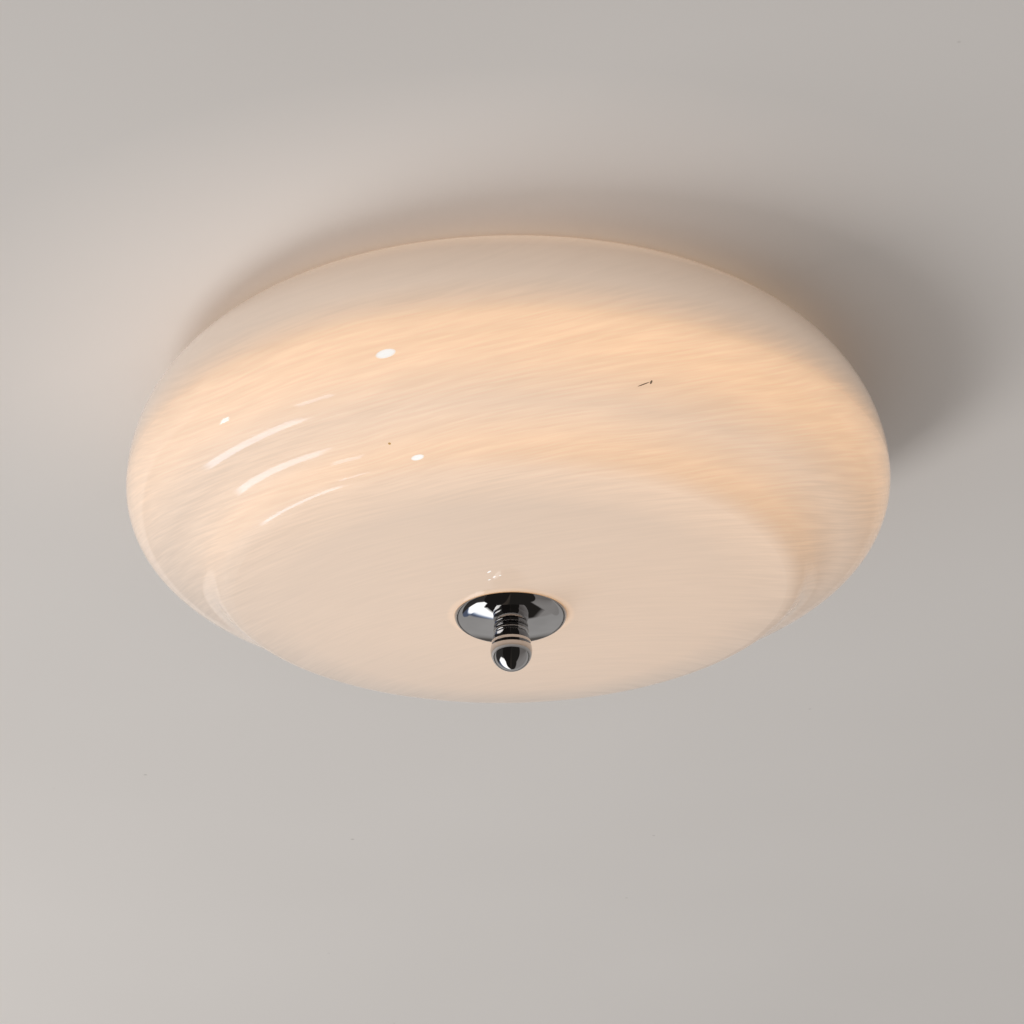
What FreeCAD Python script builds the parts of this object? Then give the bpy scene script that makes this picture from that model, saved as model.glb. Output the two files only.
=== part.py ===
"""Flush mount ceiling light: a two-tier blown opal glass shade, held up by one chrome finial.

The origin is the centre of the mounting plane, where the pan and its bar lie against the ceiling.
+Z points up into the ceiling, so the whole light hangs below Z = 0. Lamp 1 points along +Y, and the
other two stand 120 degrees round from it.
"""

import FreeCAD
import Part
import Sketcher
import math
import os

# Driving dimensions in millimetres. Names ending in "count" are numbers of pieces.
DIMENSIONS = {
    # Glass shade, outside profile from the rim down: one large arc, then belly, ledge, lower tier and dome.
    "shade_radius": 200.0,
    "shade_rim_gap": 1.5,
    "shade_belly_drop": 61.0,
    "shade_shoulder_arc": 72.0,
    "shade_lower_arc": 39.0,
    "shade_ledge_arc": 38.0,
    "shade_tier_radius": 156.5,
    "shade_tier_arc": 16.0,
    "shade_dome_arc": 850.0,
    "shade_depth": 131.0,
    "glass_wall": 3.5,
    "glass_hole_radius": 8.0,
    "glass_rim_round": 1.2,
    # Steel pan, open downward, with a well in the middle of its back for the bar and the supply cable.
    "pan_sheet": 1.0,
    "pan_rim_gap": 4.0,
    "pan_depth": 49.0,
    "pan_lip": 3.0,
    "pan_edge_bend": 8.0,
    "well_bar_gap": 2.0,
    "well_depth": 20.0,
    "well_bend": 2.0,
    # Mounting bar, its two slots for the ceiling screws, and the two studs that carry the pan.
    "bar_length": 134.0,
    "bar_width": 22.0,
    "bar_thickness": 2.0,
    "ceiling_screw_spacing": 88.0,
    "ceiling_slot_length": 16.0,
    "ceiling_slot_width": 5.2,
    "stud_spacing": 120.0,
    "stud_radius": 2.0,
    "stud_collar_radius": 3.6,
    "stud_collar_height": 1.6,
    "stud_washer_radius": 4.5,
    "stud_washer_thickness": 0.8,
    "cap_nut_flats": 7.0,
    "cap_nut_height": 3.2,
    "cap_nut_dome_radius": 3.1,
    "cap_nut_bore_depth": 4.4,
    # Threaded tube in the middle, its nuts, and the seat that the glass is pulled against.
    "rod_radius": 5.0,
    "rod_bore_radius": 3.5,
    "rod_above_well": 8.5,
    "rod_engagement": 12.3,
    "rod_chamfer": 0.6,
    "rod_nut_flats": 14.0,
    "rod_nut_height": 4.0,
    "rod_washer_radius": 10.5,
    "rod_washer_thickness": 1.0,
    "thread_clearance": 0.05,
    "seat_washer_radius": 18.0,
    "seat_washer_thickness": 1.5,
    "bush_flange_radius": 16.0,
    "bush_flange_thickness": 2.0,
    "bush_bore_clearance": 0.3,
    "bush_hole_clearance": 0.2,
    "bush_glass_gap": 0.03,
    # Chrome cap under the glass, its gasket, and the finial with two beads and a ball.
    "cap_radius": 29.3,
    "cap_glass_gap": 0.4,
    "cap_neck_radius": 8.6,
    "cap_depth": 7.3,
    "cap_dome_arc": 120.0,
    "cap_edge_arc": 6.0,
    "cap_sheet": 1.2,
    "cap_bore_clearance": 0.4,
    "gasket_radius": 14.0,
    "gasket_glass_gap": 0.3,
    "finial_bead_radius": 9.1,
    "finial_bead_height": 3.3,
    "finial_bead_round": 1.2,
    "finial_groove_radius": 8.1,
    "finial_groove_height": 0.6,
    "finial_collar_top_radius": 8.8,
    "finial_collar_radius": 10.2,
    "finial_collar_height": 5.5,
    "finial_collar_arc": 9.0,
    "finial_ball_radius": 10.8,
    "finial_ball_place": 12.9,
    "finial_bore_depth": 16.0,
    "finial_bore_cone": 2.5,
    # Lampholders, on angle brackets under the well's floor. Places along a lamp run outward from the rod.
    "lamp_axis_drop": 41.0,
    "bracket_inner": 12.8,
    "bracket_face": 24.0,
    "bracket_sheet": 1.2,
    "bracket_width": 20.0,
    "bracket_height": 30.0,
    "bracket_screw_place": 18.0,
    "bracket_screw_spacing": 10.0,
    "small_screw_radius": 1.5,
    "small_screw_head_radius": 2.7,
    "small_screw_head_height": 1.4,
    "small_nut_flats": 5.5,
    "small_nut_height": 2.2,
    "hole_clearance": 0.15,
    "screw_slot_width": 0.6,
    "screw_slot_depth": 0.7,
    "screw_tail": 0.8,
    "holder_radius": 17.5,
    "holder_length": 44.0,
    "holder_floor": 12.0,
    "holder_mouth_radius": 14.4,
    "holder_round": 2.0,
    "holder_screw_spacing": 17.0,
    "holder_screw_depth": 6.0,
    "holder_screw_gap": 0.5,
    "holder_entry": 8.0,
    "shell_wall": 0.6,
    "shell_clearance": 0.2,
    "shell_length": 22.0,
    "shell_inset": 3.0,
    "contact_radius": 4.5,
    "contact_plate": 0.6,
    "contact_rise": 2.6,
    "contact_tip_radius": 2.0,
    # Bulbs: a screw cap with its contact, a housing and a round diffuser.
    "bulb_tip_gap": 0.3,
    "bulb_button_radius": 4.0,
    "bulb_button_height": 2.0,
    "bulb_insulator_radius": 8.0,
    "bulb_insulator_height": 3.0,
    "bulb_cap_radius": 13.1,
    "bulb_cap_length": 22.0,
    "bulb_thread_pitch": 3.6,
    "bulb_thread_depth": 0.9,
    "bulb_cap_wall": 0.4,
    "bulb_housing_length": 17.0,
    "bulb_ball_radius": 22.5,
    "bulb_seam_radius": 20.5,
    "bulb_wall": 1.2,
    # Terminal block under the well's floor, and the earth point beside it.
    "block_length": 30.0,
    "block_width": 17.0,
    "block_height": 13.0,
    "block_place": 52.0,
    "block_pitch": 9.0,
    "block_round": 1.5,
    "block_wire_drop": 6.5,
    "insert_inset": 1.7,
    "insert_radius": 2.6,
    "insert_bore_radius": 1.7,
    "terminal_screw_radius": 1.4,
    "terminal_screw_spacing": 8.0,
    "block_screw_radius": 1.2,
    "earth_x": 30.0,
    "earth_y": 50.0,
    "earth_tag_radius": 4.0,
    "earth_tag_thickness": 0.8,
    "earth_barrel_start": 3.4,
    "earth_barrel_end": 11.0,
    "earth_barrel_radius": 1.7,
    # Single-core leads inside the light: two feeds, four links between the lamps and one earth lead.
    "lead_radius": 1.2,
    "lead_spacing": 3.2,
    "lead_plug_depth": 3.0,
    "lead_stub": 14.0,
    "lead_loop": 16.0,
    "lead_loop_drop": 45.0,
    "earth_lead_reach": 9.0,
    "earth_lead_swing": 13.5,
    "earth_lead_rise": 3.6,
    # Rubber grommet in the well's floor, for the supply cable.
    "grommet_place": 30.0,
    "grommet_bore_radius": 4.0,
    "grommet_hole_radius": 5.5,
    "grommet_flange_radius": 7.0,
    "grommet_flange_thickness": 2.0,
}
LAMP_DIRECTIONS = (90.0, 210.0, 330.0)
THREAD_TURNS = 5
EARTH_DIRECTION = 236.0
LEAD_BEND_SHARE = 0.45

os.makedirs("parts", exist_ok=True)
doc = FreeCAD.newDocument("ceiling_light")
sheet = doc.addObject("Spreadsheet::Sheet", "dims")
for row, (alias, number) in enumerate(DIMENSIONS.items(), start=1):
    sheet.set(f"A{row}", alias.replace("_", " "))
    sheet.set(f"B{row}", str(number))
    sheet.setAlias(f"B{row}", alias)
doc.recompute()


class Size:
    """A length that carries both its number and the sheet expression that it comes from."""

    def __init__(self, value, text):
        self.value = value
        self.text = text

    def __add__(self, other):
        other = as_size(other)
        return Size(self.value + other.value, f"({self.text} + {other.text})")

    def __sub__(self, other):
        other = as_size(other)
        return Size(self.value - other.value, f"({self.text} - {other.text})")

    def __mul__(self, other):
        other = as_size(other)
        return Size(self.value * other.value, f"({self.text} * {other.text})")

    def __truediv__(self, other):
        other = as_size(other)
        return Size(self.value / other.value, f"({self.text} / {other.text})")

    def __neg__(self):
        return Size(-self.value, f"(0 - {self.text})")

    def __rsub__(self, other):
        return as_size(other) - self

    __radd__ = __add__
    __rmul__ = __mul__


def as_size(number):
    return number if isinstance(number, Size) else Size(float(number), repr(float(number)))


def root(size):
    return Size(math.sqrt(size.value), f"sqrt({size.text})")


class Sizes:
    """Every cell of the sheet as an attribute, such as D.glass_wall."""

    def __getattr__(self, alias):
        return Size(float(sheet.get(alias)), f"dims.{alias}")


D = Sizes()
ZERO = as_size(0.0)
parts = []


def bind(thing, path, size):
    """Ties a property to the sheet."""
    thing.setExpression(path, size.text)


def listed(thing, label):
    """Marks an object as a sub-part of the light."""
    thing.Label = label
    parts.append(thing)
    return thing


def place(thing, x=ZERO, y=ZERO, z=ZERO, rotation=None):
    """Moves an object, with its position tied to the sheet."""
    x, y, z = as_size(x), as_size(y), as_size(z)
    turn = rotation or FreeCAD.Rotation()
    thing.Placement = FreeCAD.Placement(FreeCAD.Vector(x.value, y.value, z.value), turn)
    for axis, size in (("x", x), ("y", y), ("z", z)):
        bind(thing, f"Placement.Base.{axis}", size)
    return thing


def lamp_turn(direction):
    """Turns local Z outward along a lamp, and local X downward."""
    about_z = FreeCAD.Rotation(FreeCAD.Vector(0, 0, 1), direction)
    return about_z * FreeCAD.Rotation(FreeCAD.Vector(0, 1, 0), 90.0)


def plan_point(direction, outward, sideways=ZERO):
    """The X and Y of a point that lies outward along a direction and sideways from it."""
    c, s = math.cos(math.radians(direction)), math.sin(math.radians(direction))
    return outward * c - sideways * s, outward * s + sideways * c


def arc_between(start, end, radius, turn):
    """An arc of under half a turn between two points: turn is 1 anticlockwise and -1 clockwise."""
    chord = end - start
    half = chord.Length / 2
    height = math.sqrt(max(radius * radius - half * half, 0.0))
    side = FreeCAD.Vector(-chord.y, chord.x, 0).normalize() * (turn * height)
    centre = (start + end) * 0.5 + side
    first, last = (start, end) if turn > 0 else (end, start)
    a = math.atan2(first.y - centre.y, first.x - centre.x)
    b = math.atan2(last.y - centre.y, last.x - centre.x)
    circle = Part.Circle(centre, FreeCAD.Vector(0, 0, 1), radius)
    return Part.ArcOfCircle(circle, a, b if b > a else b + 2 * math.pi)


def pin_point(sketch, index, corner, x, y):
    """Fixes a point of a sketch at a place from the sheet."""
    for kind, size, axis in (("DistanceX", x, -2), ("DistanceY", y, -1)):
        if abs(size.value) < 1e-9:
            sketch.addConstraint(Sketcher.Constraint("PointOnObject", index, corner, axis))
            continue
        number = sketch.addConstraint(Sketcher.Constraint(kind, -1, 1, index, corner, size.value))
        bind(sketch, f"Constraints[{number}]", size)


def set_radius(sketch, index, radius):
    number = sketch.addConstraint(Sketcher.Constraint("Radius", index, radius.value))
    bind(sketch, f"Constraints[{number}]", radius)


def new_sketch(body, plane, name):
    found = [f for f in body.Origin.OriginFeatures if f.Role == plane]
    sketch = body.newObject("Sketcher::SketchObject", name)
    sketch.AttachmentSupport = (found[0], [""])
    sketch.MapMode = "FlatFace"
    return sketch


def draw_outline(sketch, outline):
    """Draws a closed outline from (x, y) corners. One with (x, y, radius, turn) starts an arc to the next."""
    corners = [(as_size(c[0]), as_size(c[1])) + tuple(c[2:]) for c in outline]
    points = [FreeCAD.Vector(c[0].value, c[1].value, 0) for c in corners]
    ends = []
    for i, corner in enumerate(corners):
        start, end = points[i], points[(i + 1) % len(points)]
        if len(corner) == 2:
            index = sketch.addGeometry(Part.LineSegment(start, end))
            ends.append((index, 1, 2))
        else:
            radius, turn = as_size(corner[2]), corner[3]
            index = sketch.addGeometry(arc_between(start, end, radius.value, turn))
            ends.append((index, 1, 2) if turn > 0 else (index, 2, 1))
    for i, (index, first, last) in enumerate(ends):
        after, after_first = ends[(i + 1) % len(ends)][:2]
        sketch.addConstraint(Sketcher.Constraint("Coincident", index, last, after, after_first))
        pin_point(sketch, index, first, corners[i][0], corners[i][1])
        if len(corners[i]) > 2:
            set_radius(sketch, index, as_size(corners[i][2]))


def draw_circles(sketch, circles):
    """Draws circles from (x, y, radius)."""
    for x, y, radius in circles:
        x, y, radius = as_size(x), as_size(y), as_size(radius)
        circle = Part.Circle(FreeCAD.Vector(x.value, y.value, 0), FreeCAD.Vector(0, 0, 1), radius.value)
        index = sketch.addGeometry(circle)
        pin_point(sketch, index, 3, x, y)
        set_radius(sketch, index, radius)


def turned(name, outline):
    """A body turned about its own Z axis from a half section of (radius, height) corners."""
    body = doc.addObject("PartDesign::Body", name)
    sketch = new_sketch(body, "XZ_Plane", f"{name}_section")
    draw_outline(sketch, outline)
    spin = body.newObject("PartDesign::Revolution", f"{name}_turning")
    spin.Profile = sketch
    spin.ReferenceAxis = (sketch, ["V_Axis"])
    spin.Angle = 360.0
    sketch.Visibility = False
    return body


def ring(name, inner, outer, bottom, top):
    """A plain washer or tube."""
    return turned(name, [(inner, bottom), (outer, bottom), (outer, top), (inner, top)])


def padded(name, plane, outline, depth, midplane=False, reverse=False):
    """A body pushed out from a flat outline."""
    body = doc.addObject("PartDesign::Body", name)
    sketch = new_sketch(body, plane, f"{name}_outline")
    draw_outline(sketch, outline)
    pad = body.newObject("PartDesign::Pad", f"{name}_pad")
    pad.Profile = sketch
    bind(pad, "Length", as_size(depth))
    pad.Midplane = midplane
    pad.Reversed = reverse
    sketch.Visibility = False
    return body


def drill(body, name, plane, circles=(), outlines=(), depth=None, reverse=False, midplane=False):
    """Cuts holes or slots through a body, or to a depth, and checks that they took material away."""
    doc.recompute()
    before = body.Shape.Volume
    sketch = new_sketch(body, plane, f"{name}_sketch")
    draw_circles(sketch, circles)
    for outline in outlines:
        draw_outline(sketch, outline)
    pocket = body.newObject("PartDesign::Pocket", name)
    pocket.Profile = sketch
    pocket.Midplane = midplane
    pocket.Reversed = reverse
    if depth is None:
        pocket.Type = "ThroughAll"
    else:
        bind(pocket, "Length", as_size(depth))
    sketch.Visibility = False
    doc.recompute()
    if not body.Shape.Volume < before - 1e-3:
        raise RuntimeError(f"{name} cuts nothing")
    return pocket


def solid(kind, name, **sizes):
    """A Part primitive whose sizes are tied to the sheet."""
    thing = doc.addObject(f"Part::{kind}", name)
    for prop, size in sizes.items():
        bind(thing, prop, as_size(size))
    return thing


def joined(name, pieces):
    thing = doc.addObject("Part::MultiFuse", name)
    thing.Shapes = pieces
    return thing


def cut_from(name, base, tool):
    thing = doc.addObject("Part::Cut", name)
    thing.Base = base
    thing.Tool = tool
    return thing


def group(label, pieces):
    """Identical small pieces, each its own solid, kept together as one sub-part."""
    thing = doc.addObject("Part::Compound", label)
    thing.Links = pieces
    return listed(thing, label)


def screw(name, radius, length, head_radius, head_height):
    """A pan head screw: the head lies above local Z = 0 and the shank runs down from it."""
    head = solid("Cylinder", f"{name}_head", Radius=head_radius, Height=head_height)
    shank = place(solid("Cylinder", f"{name}_shank", Radius=radius, Height=length), z=-as_size(length))
    slot = driver_slot(name, head_radius)
    place(slot, x=-head_radius, y=-D.screw_slot_width / 2, z=head_height - D.screw_slot_depth)
    return cut_from(name, joined(f"{name}_body", [head, shank]), slot)


def driver_slot(name, radius):
    """The bar that cuts a screwdriver slot across a head of this radius."""
    width, depth = D.screw_slot_width, D.screw_slot_depth
    return solid("Box", f"{name}_slot", Length=radius * 2, Width=width, Height=depth)


def small_screw(name, radius, grip):
    """A small pan head screw that clamps sheets of this thickness and stands a little past its nut."""
    length = grip + D.small_nut_height + D.screw_tail
    return screw(name, radius, length, D.small_screw_head_radius, D.small_screw_head_height)


def small_nut(name, radius):
    return hex_nut(name, D.small_nut_flats, D.small_nut_height, radius + D.thread_clearance)


def hex_nut(name, flats, height, bore):
    """A hexagon nut that stands on local Z = 0."""
    prism = solid("Prism", f"{name}_hex", Circumradius=flats / math.sqrt(3.0), Height=height)
    prism.Polygon = 6
    hole = solid("Cylinder", f"{name}_hole", Radius=bore, Height=height)
    return cut_from(name, prism, hole)


# Heights that several pieces share, all measured down from the ceiling.
WELL_FLOOR_TOP = -D.well_depth
WELL_FLOOR = WELL_FLOOR_TOP - D.pan_sheet
LAMP_AXIS = -D.lamp_axis_drop
GLASS_BOTTOM = -D.shade_depth
GLASS_SEAT = GLASS_BOTTOM + D.glass_wall
ROD_HOLE = D.rod_radius + D.thread_clearance
SEAT_WASHER_BOTTOM = GLASS_SEAT + D.bush_flange_thickness
SEAT_WASHER_TOP = SEAT_WASHER_BOTTOM + D.seat_washer_thickness
SMALL_HOLE = D.small_screw_radius + D.hole_clearance
STUD_HOLE = D.stud_radius + D.hole_clearance
WIRE_HEIGHT = WELL_FLOOR - D.block_wire_drop
INSERT_HALF = D.block_width / 2 - D.insert_inset
BLOCK_SCREW_X = D.block_pitch / 2
UPWARD = FreeCAD.Rotation(FreeCAD.Vector(1, 0, 0), 180.0)


def rim_opening():
    """The radius that the glass leaves open at its rim."""
    reach = D.shade_shoulder_arc - D.glass_wall
    rise = D.shade_belly_drop - D.shade_rim_gap
    return D.shade_radius - D.shade_shoulder_arc + root(reach * reach - rise * rise)


def dome_height(radius, offset):
    """The height of the glass dome at a radius; offset is how far inside its outer face the point lies."""
    centre = GLASS_BOTTOM + D.shade_dome_arc
    reach = D.shade_dome_arc - offset
    return centre - root(reach * reach - radius * radius)


PAN_RADIUS = rim_opening() - D.pan_rim_gap - D.pan_lip
WELL_RADIUS = D.bar_length / 2 + D.well_bar_gap
CAP_RIM = dome_height(D.cap_radius, ZERO) - D.cap_glass_gap
CAP_EDGE = D.cap_radius - D.cap_edge_arc


def cap_height(radius, inset):
    """The height of the cap's shallow dome at a radius, for a face that lies inset within the outer one."""
    centre = CAP_RIM - D.cap_depth + D.cap_dome_arc
    reach = D.cap_dome_arc - inset
    return centre - root(reach * reach - radius * radius)


CAP_EDGE_RISE = cap_height(CAP_EDGE, D.cap_edge_arc)
CAP_NECK = cap_height(D.cap_neck_radius, ZERO)
CAP_FLOOR = cap_height(D.cap_neck_radius, D.cap_sheet)


def cap_outline(inset):
    """Where the rounded edge starts on the dome, and how far out it ends at the rim."""
    start = CAP_EDGE * (D.cap_dome_arc - inset) / (D.cap_dome_arc - D.cap_edge_arc)
    reach, rise = D.cap_edge_arc - inset, CAP_EDGE_RISE - CAP_RIM
    return start, CAP_EDGE + root(reach * reach - rise * rise)


def circle_tangent_to_both(first, first_radius, second, second_radius, radius):
    """The centre, on the outer side, of a circle that touches two circles from outside."""
    a, b = first_radius + radius, second_radius + radius
    line = second - first
    along = (a * a - b * b + line.Length ** 2) / (2 * line.Length)
    across = math.sqrt(a * a - along * along)
    unit = FreeCAD.Vector(line).normalize()
    options = [first + unit * along + FreeCAD.Vector(-unit.y, unit.x, 0) * (s * across) for s in (1, -1)]
    return max(options, key=lambda point: point.x)


def shade_wall(sketch, inset):
    """One face of the glass, from the rim to the hole, as five arcs that run into each other."""
    rim = -D.shade_rim_gap.value
    belly = -D.shade_belly_drop.value
    shoulder, lower = D.shade_shoulder_arc - inset, D.shade_lower_arc - inset
    ledge, tier, dome = D.shade_ledge_arc + inset, D.shade_tier_arc - inset, D.shade_dome_arc - inset
    shoulder_x = D.shade_radius - D.shade_shoulder_arc
    tier_x = D.shade_tier_radius - D.shade_tier_arc
    dome_y = GLASS_BOTTOM + D.shade_dome_arc
    hole = D.glass_hole_radius.value

    c1 = FreeCAD.Vector(shoulder_x.value, belly, 0)
    c2 = FreeCAD.Vector((D.shade_radius - D.shade_lower_arc).value, belly, 0)
    c5 = FreeCAD.Vector(0, dome_y.value, 0)
    drop = math.sqrt((dome - tier).value ** 2 - tier_x.value ** 2)
    c4 = FreeCAD.Vector(tier_x.value, dome_y.value - drop, 0)
    c3 = circle_tangent_to_both(c2, lower.value, c4, tier.value, ledge.value)

    rim_point = FreeCAD.Vector(c1.x + math.sqrt(shoulder.value ** 2 - (rim - belly) ** 2), rim, 0)
    belly_point = FreeCAD.Vector(c1.x + shoulder.value, belly, 0)
    lower_end = c2 + (c3 - c2).normalize() * lower.value
    tier_start = c4 + (c3 - c4).normalize() * tier.value
    tier_end = c5 + (c4 - c5).normalize() * dome.value
    hole_point = FreeCAD.Vector(hole, c5.y - math.sqrt(dome.value ** 2 - hole ** 2), 0)

    arc = {
        "shoulder": sketch.addGeometry(arc_between(belly_point, rim_point, shoulder.value, 1)),
        "lower": sketch.addGeometry(arc_between(lower_end, belly_point, lower.value, 1)),
        "ledge": sketch.addGeometry(arc_between(lower_end, tier_start, ledge.value, 1)),
        "tier": sketch.addGeometry(arc_between(tier_end, tier_start, tier.value, 1)),
        "dome": sketch.addGeometry(arc_between(hole_point, tier_end, dome.value, 1)),
    }
    for name, radius in zip(arc, (shoulder, lower, ledge, tier, dome)):
        set_radius(sketch, arc[name], radius)

    def fix(kind, index, corner, size):
        number = sketch.addConstraint(Sketcher.Constraint(kind, -1, 1, index, corner, size.value))
        bind(sketch, f"Constraints[{number}]", size)

    fix("DistanceX", arc["shoulder"], 3, shoulder_x)
    fix("DistanceY", arc["shoulder"], 3, -D.shade_belly_drop)
    fix("DistanceY", arc["shoulder"], 1, -D.shade_belly_drop)
    fix("DistanceY", arc["shoulder"], 2, -D.shade_rim_gap)
    fix("DistanceY", arc["lower"], 3, -D.shade_belly_drop)
    sketch.addConstraint(Sketcher.Constraint("Coincident", arc["lower"], 2, arc["shoulder"], 1))
    sketch.addConstraint(Sketcher.Constraint("Tangent", arc["lower"], 1, arc["ledge"], 1))
    sketch.addConstraint(Sketcher.Constraint("Tangent", arc["ledge"], 2, arc["tier"], 2))
    fix("DistanceX", arc["tier"], 3, tier_x)
    sketch.addConstraint(Sketcher.Constraint("Tangent", arc["tier"], 1, arc["dome"], 2))
    sketch.addConstraint(Sketcher.Constraint("PointOnObject", arc["dome"], 3, -2))
    fix("DistanceY", arc["dome"], 3, dome_y)
    fix("DistanceX", arc["dome"], 1, D.glass_hole_radius)
    return arc, rim_point, hole_point


def make_shade():
    body = doc.addObject("PartDesign::Body", "shade")
    sketch = new_sketch(body, "XZ_Plane", "shade_section")
    outside, rim_out, hole_out = shade_wall(sketch, ZERO)
    inside, rim_in, hole_in = shade_wall(sketch, D.glass_wall)
    for start, end, corner_a, corner_b in (
        (rim_out, rim_in, (outside["shoulder"], 2), (inside["shoulder"], 2)),
        (hole_out, hole_in, (outside["dome"], 1), (inside["dome"], 1)),
    ):
        line = sketch.addGeometry(Part.LineSegment(start, end))
        sketch.addConstraint(Sketcher.Constraint("Coincident", line, 1, *corner_a))
        sketch.addConstraint(Sketcher.Constraint("Coincident", line, 2, *corner_b))
    spin = body.newObject("PartDesign::Revolution", "shade_turning")
    spin.Profile = sketch
    spin.ReferenceAxis = (sketch, ["V_Axis"])
    spin.Angle = 360.0
    doc.recompute()
    rim = [
        f"Edge{i}"
        for i, edge in enumerate(spin.Shape.Edges, start=1)
        if isinstance(edge.Curve, Part.Circle) and abs(edge.Curve.Center.z + D.shade_rim_gap.value) < 1e-3
        and edge.Curve.Radius > D.shade_radius.value / 2
    ]
    fillet = body.newObject("PartDesign::Fillet", "shade_rim_round")
    fillet.Base = (spin, rim)
    bind(fillet, "Radius", D.glass_rim_round)
    return listed(body, "shade")


def make_pan():
    t, b, edge = D.pan_sheet, D.well_bend, D.pan_edge_bend
    well, outer, lip = WELL_RADIUS, PAN_RADIUS, D.pan_lip
    floor, low = WELL_FLOOR_TOP, -D.pan_depth
    body = turned("ceiling_pan", [
        (ROD_HOLE, floor),
        (well - b, floor, b, 1),
        (well, floor + b),
        (well, -(b + t), b + t, -1),
        (well + b + t, ZERO),
        (outer - edge, ZERO, edge, -1),
        (outer, -edge),
        (outer, low + lip, lip, 1),
        (outer + lip, low),
        (outer + lip, low - t, lip + t, -1),
        (outer - t, low + lip),
        (outer - t, -edge, edge - t, 1),
        (outer - edge, -t),
        (well + b + t, -t, b, 1),
        (well + t, -(b + t)),
        (well + t, floor + b, b + t, -1),
        (well - b, floor - t),
        (ROD_HOLE, floor - t),
    ])
    holes = stud_holes()
    holes += [(*bracket_screw_point(d, s), SMALL_HOLE) for d in LAMP_DIRECTIONS for s in (1.0, -1.0)]
    holes.append((ZERO, -D.grommet_place, D.grommet_hole_radius))
    holes.append((BLOCK_SCREW_X, -D.block_place, D.block_screw_radius + D.hole_clearance))
    holes.append((D.earth_x, -D.earth_y, SMALL_HOLE))
    drill(body, "pan_holes", "XY_Plane", circles=holes)
    return listed(body, "ceiling_pan")


def stud_holes():
    return [(side * D.stud_spacing / 2, ZERO, STUD_HOLE) for side in (1.0, -1.0)]


def bracket_screw_point(direction, side):
    return plan_point(direction, D.bracket_screw_place, D.bracket_screw_spacing * (side / 2))


def make_bar():
    half, wide = D.bar_length / 2, D.bar_width / 2
    corners = [(-half, -wide), (half, -wide), (half, wide), (-half, wide)]
    body = padded("mounting_bar", "XY_Plane", corners, D.bar_thickness, reverse=True)
    drill(body, "stud_holes", "XY_Plane", circles=stud_holes())
    slots = []
    for side in (1.0, -1.0):
        middle = side * D.ceiling_screw_spacing / 2
        reach = D.ceiling_slot_length / 2 - D.ceiling_slot_width / 2
        r = D.ceiling_slot_width / 2
        slots.append([
            (middle - reach, -r),
            (middle + reach, -r, r, 1),
            (middle + reach + r, ZERO, r, 1),
            (middle + reach, r),
            (middle - reach, r, r, 1),
            (middle - reach - r, ZERO, r, 1),
        ])
    drill(body, "ceiling_slots", "XY_Plane", outlines=slots)
    listed(body, "mounting_bar")


def make_studs():
    """Two studs pressed into the bar, which carry the pan on washers and acorn nuts."""
    studs, washers, nuts = [], [], []
    under_bar = -D.bar_thickness
    collar = under_bar - D.stud_collar_height
    below = WELL_FLOOR - D.stud_washer_thickness
    tip = below - D.cap_nut_height
    r, wide = D.stud_radius, D.stud_collar_radius
    for number, side in enumerate((1.0, -1.0), start=1):
        x = side * D.stud_spacing / 2
        stud = turned(f"stud_{number}", [
            (ZERO, tip), (r, tip), (r, collar), (wide, collar),
            (wide, under_bar), (r, under_bar), (r, ZERO), (ZERO, ZERO),
        ])
        studs.append(place(stud, x=x))
        washer = ring(f"stud_washer_{number}", STUD_HOLE, D.stud_washer_radius, below, WELL_FLOOR)
        washers.append(place(washer, x=x))
        nuts.append(place(cap_nut(f"cap_nut_{number}"), x=x, z=below))
    group("bar_studs", studs)
    group("stud_washers", washers)
    group("cap_nuts", nuts)


def cap_nut(name):
    """An acorn nut that hangs down from local Z = 0."""
    height, bore = D.cap_nut_height, D.stud_radius + D.thread_clearance
    prism = solid("Prism", f"{name}_hex", Circumradius=D.cap_nut_flats / math.sqrt(3.0), Height=height)
    prism.Polygon = 6
    place(prism, z=-height)
    dome = solid("Sphere", f"{name}_dome", Radius=D.cap_nut_dome_radius)
    dome.Angle1 = -90.0
    dome.Angle2 = 0.0
    place(dome, z=-height)
    hole = solid("Cylinder", f"{name}_hole", Radius=bore, Height=D.cap_nut_bore_depth)
    place(hole, z=-D.cap_nut_bore_depth)
    return cut_from(name, joined(f"{name}_body", [prism, dome]), hole)


def make_rod():
    r, bore, c = D.rod_radius, D.rod_bore_radius, D.rod_chamfer
    top, low = WELL_FLOOR_TOP + D.rod_above_well, CAP_NECK - D.rod_engagement
    rod = turned("suspension_rod", [
        (bore, low), (r - c, low), (r, low + c), (r, top - c), (r - c, top), (bore, top),
    ])
    listed(rod, "suspension_rod")
    thickness, height = D.rod_washer_thickness, D.rod_nut_height
    washers, nuts = [], []
    for number, low in enumerate((WELL_FLOOR_TOP, WELL_FLOOR - thickness), start=1):
        washers.append(ring(f"rod_washer_{number}", ROD_HOLE, D.rod_washer_radius, low, low + thickness))
    for number, low in enumerate((WELL_FLOOR_TOP + thickness, WELL_FLOOR - thickness - height), start=1):
        nuts.append(place(hex_nut(f"rod_nut_{number}", D.rod_nut_flats, height, ROD_HOLE), z=low))
    group("rod_washers", washers)
    group("rod_lock_nuts", nuts)
    seat_nut = hex_nut("seat_nut", D.rod_nut_flats, height, ROD_HOLE)
    listed(place(seat_nut, z=SEAT_WASHER_TOP), "seat_nut")
    seat_washer = ring("seat_washer", ROD_HOLE, D.seat_washer_radius, SEAT_WASHER_BOTTOM, SEAT_WASHER_TOP)
    listed(seat_washer, "seat_washer")


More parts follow.
